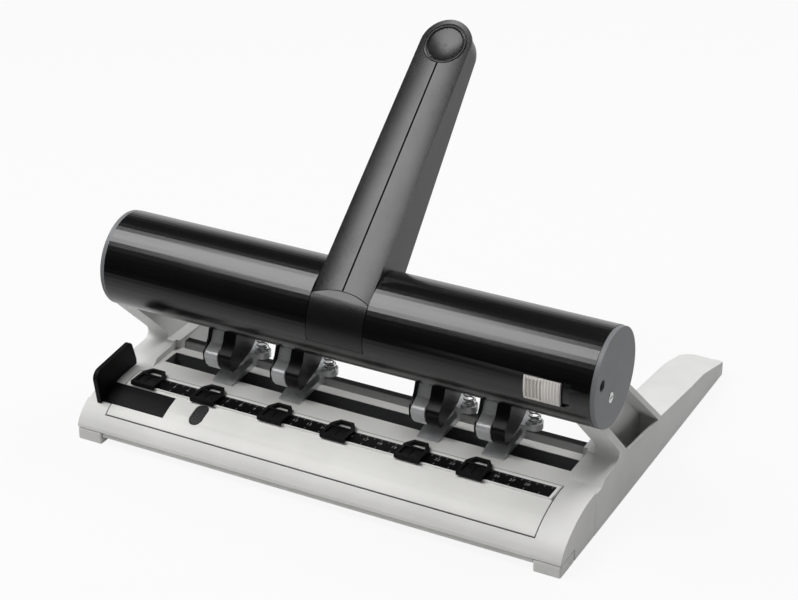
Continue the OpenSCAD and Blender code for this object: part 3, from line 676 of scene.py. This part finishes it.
# %% Base parts
finished("front_housing", moulded_base, 0.7)
finished("front_cover", moulded_cover, 0.45)
finished("front_feet", moulded_base, 1.3)
finished("base_floor", moulded_floor, 0.3)
finished("chip_tray", moulded_base, 0.4)
for side in ("left", "right"):
    finished(side + "_side_frame", moulded_frame, 0.8)
finished("rear_feet", rubber_black, 0.25)
finished("guide_rail", coated_rail, 0.3)
finished("ruler", ruler_print, 0.12)
finished("window_insert", window_dimples, 0.15)
print("base dressed")

# %% [markdown]
# ## Dress the tube
#
# The tube is a rolled steel shell with a slot for the lever. Its end caps are moulded, and a
# screw holds each of them. The bearings inside carry the lever's shaft. The tube could be a new
# cylinder, but its slot has to let the lever through, so the built shell is kept.

# %% Tube parts
finished("tube_shell", coated_tube, 0.35)
for side in ("left", "right"):
    finished(side + "_end_cap", moulded_cap, 0.8)
    finished(side + "_bearing", turned_steel, 0.3)
finished("cap_screws", turned_steel, 0.25)
finished("badge_plate", moulded_pad, 0.4)
finished("lock_slider", moulded_button, 0.45)
print("tube dressed")

# %% [markdown]
# ## Dress the lever and its drive
#
# The lever is a black shell on a core, with a ringed dish for the thumb. Inside the tube its
# hub turns a shaft, and two fingers on the shaft push the press bar down. The tube hides them,
# but they show from below, so they get the bare steel of such parts.

# %% Lever parts
finished("lever_shell", moulded_lever, 0.8, segments=4)
finished("lever_core", moulded_core, 0.8)
finished("thumb_pad", moulded_pad, 0.15)
finished("lever_hub", moulded_black, 0.4)
finished("drive_shaft", turned_steel, 0.4)
finished("left_cam", ground_steel, 0.4)
finished("right_cam", ground_steel, 0.4)
finished("press_bar", ground_steel, 0.4)
print("lever dressed")

# %% [markdown]
# ## The thumb's bowl
#
# The dish in the thumb pad is a shallow bowl, and the built one is too deep: its floor lies in
# the dark. A new bowl could be cut, but the built one already has fine rings of points. Each
# point inside the rim is moved along the pad's outward direction until it lies on a parabola.

# %% Make the bowl shallow
BOWL_RADIUS = 11.8 * MM
BOWL_FLOOR = 2.5 * MM
BOWL_RISE = 1.5 * MM
BOWL_RIM = 0.05 * MM
SEAT_HEIGHT = 0.5 * MM


def flatten_bowl():
    """Lift the bowl of the thumb pad, and give the number of points that were moved."""
    mesh = bpy.data.meshes["thumb_pad_finished"]
    seat = max(mesh.polygons, key=lambda face: face.area)
    outward = -seat.normal
    centre = seat.center.copy()
    moved = 0
    for point in mesh.vertices:
        height = (point.co - centre).dot(outward)
        radius = (point.co - centre - outward * height).length
        if height > SEAT_HEIGHT and radius < BOWL_RADIUS - BOWL_RIM:
            level = BOWL_FLOOR + BOWL_RISE * (radius / BOWL_RADIUS) ** 2
            point.co += outward * (level - height)
            moved += 1
    return moved


print("points moved in the bowl:", flatten_bowl())

# %% [markdown]
# ## Dress the four punch units
#
# Each unit is a cast frame with a bent strap in front, a black side cover, the pin with its
# head, and the coil that lifts the pin again. The units are alike, so one loop finishes them
# all. The built frame holds its coil in a tall cup, which hides it. The cast cup ends just
# above its floor, so the points of its edge are moved down.

# %% Punch units
CUP_RADIUS = 5.4 * MM
CUP_TOP = 53 * MM
CUP_EDGE = 47.4 * MM
CUP_MARGIN = 0.1 * MM


def lower_cup(number):
    """End the spring's cup just above its floor, so that the coil shows."""
    low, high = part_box(f"return_spring_{number}")
    middle = (low + high) / 2
    for point in bpy.data.meshes[f"die_frame_{number}_finished"].vertices:
        from_coil = math.hypot(point.co.x - middle.x, point.co.y - middle.y)
        at_top = abs(point.co.z - CUP_TOP) < CUP_MARGIN
        if from_coil < CUP_RADIUS + CUP_MARGIN and at_top:
            point.co.z = CUP_EDGE


for number in (1, 2, 3, 4):
    finished(f"die_frame_{number}", cast_zinc, 0.3)
    lower_cup(number)
    finished(f"strap_{number}", satin_strap, 0.35)
    finished(f"jaw_{number}", moulded_black, 0.6)
    finished(f"punch_pin_{number}", ground_steel, 0.2)
print("units dressed, cup edge", CUP_EDGE / MM, "mm up")

# %% [markdown]
# ## Wind the return springs
#
# A spring is one wire on a helix. A curve with a thickness could make it, but a spin sets its
# turns and its height more simply: a small circle stands beside the spring's axis, and the spin
# carries it round ten times while each step also lifts it a little. That leaves a smooth tube
# with open ends, which are then closed. When the lever comes down, the pin's head takes the top
# of the coil with it and the lower end stays on its seat. So the piece rides on its pin.

# %% Coil springs
WIRE = 0.9 * MM
WIRE_SIDES = 12
CURLS = 10
STEPS_PER_CURL = 26


def coil_spring(number):
    """Wind one coil to the size of the built spring and seat it on its pin."""
    low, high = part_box(f"return_spring_{number}")
    middle = (low + high) / 2
    radius = (high.x - low.x) / 2 - WIRE / 2
    steps = CURLS * STEPS_PER_CURL
    rise = high.z - low.z - WIRE
    start = Matrix.Translation((middle.x + radius, middle.y, low.z + WIRE / 2))
    upright = Matrix.Rotation(math.pi / 2, 4, "X")
    shape = bmesh.new()
    bmesh.ops.create_circle(shape, segments=WIRE_SIDES, radius=WIRE / 2,
                            matrix=start @ upright)
    bmesh.ops.spin(shape, geom=shape.verts[:] + shape.edges[:], cent=middle, axis=(0, 0, 1),
                   dvec=(0, 0, rise / steps), angle=math.tau * CURLS, steps=steps)
    open_ends = [edge for edge in shape.edges if edge.is_boundary]
    bmesh.ops.holes_fill(shape, edges=open_ends, sides=0)
    bmesh.ops.recalc_face_normals(shape, faces=shape.faces)
    mesh = bpy.data.meshes.new(f"coil_{number}")
    shape.to_mesh(mesh)
    shape.free()
    mesh.materials.append(spring_wire)
    for face in mesh.polygons:
        face.use_smooth = len(face.vertices) == 4
    coil = bpy.data.objects.new(f"coil_{number}", mesh)
    bpy.context.scene.collection.objects.link(coil)
    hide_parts(f"return_spring_{number}")
    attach(coil, f"pin_{number}")
    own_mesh(coil)
    return coil


for number in (1, 2, 3, 4):
    wound = coil_spring(number)
    print(wound.name, "height", round(wound.dimensions.z / MM, 1), "mm")

# %% [markdown]
# ## Dress the stop and the markers
#
# The side stop and the six markers are small black mouldings that the user slides by hand. They
# are matt, because their mould is rougher, so they get a plastic with hardly any gleam.

# %% Stop and markers
finished("side_stop", moulded_matt, 0.5)
for number in range(1, 7):
    finished(f"marker_{number}", moulded_matt, 0.3)
print("stop and markers dressed")

# %% [markdown]
# ## Number the ruler
#
# The ruler carries a number at every centimetre. Digits are hard to write as a mask, so text is
# drawn as a font curve, turned into a mesh, and moved onto the ruler's top. All the numbers are
# joined in one mesh, because they are one layer of ink.

# %% Ruler numbers
NUMBER_SIZE = 3.645 * MM
NUMBER_INSET = 6.2 * MM
CENTIMETRE = 10 * MM
INK = 0.015 * MM


def number_mesh(label, place):
    """One number as a flat mesh that lies at a place."""
    lettering = bpy.data.curves.new("number", "FONT")
    lettering.body = label
    lettering.size = NUMBER_SIZE
    lettering.extrude = INK
    lettering.align_x = "CENTER"
    lettering.resolution_u = 3
    holder = bpy.data.objects.new("number", lettering)
    bpy.context.scene.collection.objects.link(holder)
    evaluated = holder.evaluated_get(bpy.context.evaluated_depsgraph_get())
    drawn = bpy.data.meshes.new_from_object(evaluated)
    bpy.data.objects.remove(holder)
    drawn.transform(Matrix.Translation(place))
    return drawn


ruler_low, ruler_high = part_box("ruler")
number_depth = ruler_high.y - RULER_BORDER - NUMBER_INSET
ink_shape = bmesh.new()
centimetres = int((ruler_high.x - ruler_low.x) / CENTIMETRE)
for mark in range(1, centimetres):
    at = Vector((ruler_low.x + mark * CENTIMETRE, number_depth, ruler_high.z + INK))
    number_layer = number_mesh(str(mark), at)
    ink_shape.from_mesh(number_layer)
    bpy.data.meshes.remove(number_layer)
numbers_mesh = bpy.data.meshes.new("ruler_numbers")
ink_shape.to_mesh(numbers_mesh)
ink_shape.free()
numbers_mesh.materials.append(number_ink)
numbers = bpy.data.objects.new("ruler_numbers", numbers_mesh)
bpy.context.scene.collection.objects.link(numbers)
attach(numbers, bodies_of["ruler"])
print("numbers 1 to", centimetres - 1)

# %% [markdown]
# ## The ground
#
# The machine stands on a pale seamless ground. A lamp could bleach the ground to white, but it
# would bleach the pale base too. So the ground glows by itself, and only for the camera and for
# reflections, while its diffuse part still takes the soft shadow. In reflections it glows near
# the machine and behind it, where it fills the lower half of the black tube.

# %% Pale ground
BLACK = (0, 0, 0)
WHITE = (1, 1, 1)
GROUND_GREY = (0.55, 0.55, 0.55, 1)
CAMERA_GLOW = 0.9
DARK_UP_TO = -0.45
BRIGHT_FROM = -0.1
NEAR_GLOW = 0.85
GROUND_HALF = 6

ground_finish = Finish("pale_ground", Roughness=0.9, Base_Color=GROUND_GREY)
seen = ground_finish.node("ShaderNodeLightPath", {}, {}, "Is Camera Ray")
mirrored = ground_finish.node("ShaderNodeLightPath", {}, {}, "Is Glossy Ray")
near = ground_finish.level(ground_finish.axis("Y"), DARK_UP_TO, BRIGHT_FROM, 0.0, NEAR_GLOW)
glow = ground_finish.node("ShaderNodeEmission", {}, {
    "Color": ground_finish.mix((1 - mirrored) + mirrored * near, BLACK, WHITE),
    "Strength": 1.0})
blend = ground_finish.node("ShaderNodeMixShader", {}, {
    0: seen * CAMERA_GLOW + mirrored,
    1: Amount(ground_finish, ground_finish.shader.outputs[0]), 2: glow})
ground_output = ground_finish.tree.nodes["Material Output"]
ground_finish.tree.links.new(blend.socket, ground_output.inputs["Surface"])

ground_shape = bmesh.new()
bmesh.ops.create_grid(ground_shape, x_segments=2, y_segments=2, size=GROUND_HALF)
ground_mesh = bpy.data.meshes.new("ground")
ground_shape.to_mesh(ground_mesh)
ground_shape.free()
ground_mesh.materials.append(ground_finish.material)
ground = bpy.data.objects.new("ground", ground_mesh)
bpy.context.scene.collection.objects.link(ground)
print("ground laid,", 2 * GROUND_HALF, "m wide")

# %% [markdown]
# ## The air of the studio
#
# A glossy black tube shows whatever stands round it, so the air differs by ray. The camera sees
# white. A reflection sees a pale backdrop low behind the machine, which lights the tube's upper
# edge, and nearly nothing elsewhere. All other light comes softly from every side, and much
# less of it from the right, where the end of the machine is in shade. Panels could stand there
# instead, but they would show in the other views.

# %% Air
AIR_LIGHT = 0.28
RIGHT_LOSS = 0.7
RIGHT_SPAN = (0, 0.7)
BEHIND_SPAN = (-0.1, 0.5)
LOW_SPAN = (0.15, 0.55)
BACKDROP_LIGHT = 0.98
REST_LIGHT = 0.02

world = bpy.data.worlds.new("studio")
bpy.context.scene.world = world
world.use_nodes = True
air = Graph(world.node_tree)
towards = air.node("ShaderNodeTexCoord", {}, {}, "Generated")
rightward, rearward, upward = (
    air.node("ShaderNodeSeparateXYZ", {}, {0: towards}, name) for name in "XYZ")
by_camera = air.node("ShaderNodeLightPath", {}, {}, "Is Camera Ray")
by_gloss = air.node("ShaderNodeLightPath", {}, {}, "Is Glossy Ray")
behind = air.level(rearward, *BEHIND_SPAN, 0, 1)
low_down = air.level(upward, *LOW_SPAN, 1, 0)
backdrop = behind * low_down * BACKDROP_LIGHT + REST_LIGHT
from_right = air.level(rightward, *RIGHT_SPAN, 0, 1)
soft_air = AIR_LIGHT * (1 - from_right * RIGHT_LOSS)
light = by_camera + by_gloss * backdrop + (1 - by_camera) * (1 - by_gloss) * soft_air
sky = world.node_tree.nodes["Background"]
sky.inputs["Strength"].default_value = 1.0
world.node_tree.links.new(air.mix(light, BLACK, WHITE).socket, sky.inputs["Color"])
print("air light", AIR_LIGHT)

# %% [markdown]
# ## The lamps
#
# Two soft boxes light the machine. The one high in front gives the broad band along the tube,
# and the one behind lights the rear edges. Spots would give hard shadows and a thin white line
# on the tube, so both are wide areas, each turned towards the machine.

# %% Lamps
LIT_POINT = Vector((0, 0, 0.08))


def soft_box(name, place, size, watts):
    """A wide rectangular lamp, turned towards the machine."""
    lamp = bpy.data.lights.new(name, "AREA")
    lamp.shape = "RECTANGLE"
    lamp.size, lamp.size_y = size
    lamp.energy = watts
    box = bpy.data.objects.new(name, lamp)
    box.location = place
    box.rotation_euler = (LIT_POINT - Vector(place)).to_track_quat("-Z", "Y").to_euler()
    bpy.context.scene.collection.objects.link(box)


soft_box("front_box", place=(-0.66, -0.52, 1.4), size=(1.15, 0.85), watts=21)
soft_box("rear_box", place=(0.4, 0.9, 1.5), size=(0.8, 0.8), watts=16)
print("lamps set")

# %% [markdown]
# ## The end of the dressing
#
# The dressed machine must not outgrow the built one.


print("machine dressed")
